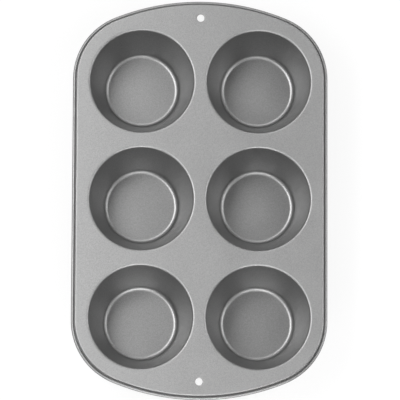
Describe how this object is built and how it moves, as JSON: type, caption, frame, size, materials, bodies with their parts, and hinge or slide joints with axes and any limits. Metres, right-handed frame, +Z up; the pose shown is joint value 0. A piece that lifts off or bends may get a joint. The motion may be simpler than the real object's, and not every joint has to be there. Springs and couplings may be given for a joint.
{
  "type": "jumbo muffin pan",
  "caption": "Rounded oblong muffin pan with deep tapered round cups in a flat deck, a rolled wired rim and a hang hole at each end.",
  "frame": {"origin": "on the table plane under the middle of the pan, where the cups' undersides stand", "axes": "+Z up out of the cups, +Y along the pan to its rear end, +X to the right"},
  "size_m": [0.214, 0.3374, 0.0495],
  "materials": {
    "nonstick_coating": "semi-gloss metallic grey non-stick coating with a fine flake",
    "wire_steel": "plain drawn wire"
  },
  "bodies": {
    "root": {"deck_plate": "nonstick_coating", "rim_wire": "wire_steel", "cup_front_left": "nonstick_coating", "cup_front_right": "nonstick_coating", "cup_middle_left": "nonstick_coating", "cup_middle_right": "nonstick_coating", "cup_rear_left": "nonstick_coating", "cup_rear_right": "nonstick_coating"}
  },
  "joints": []
}
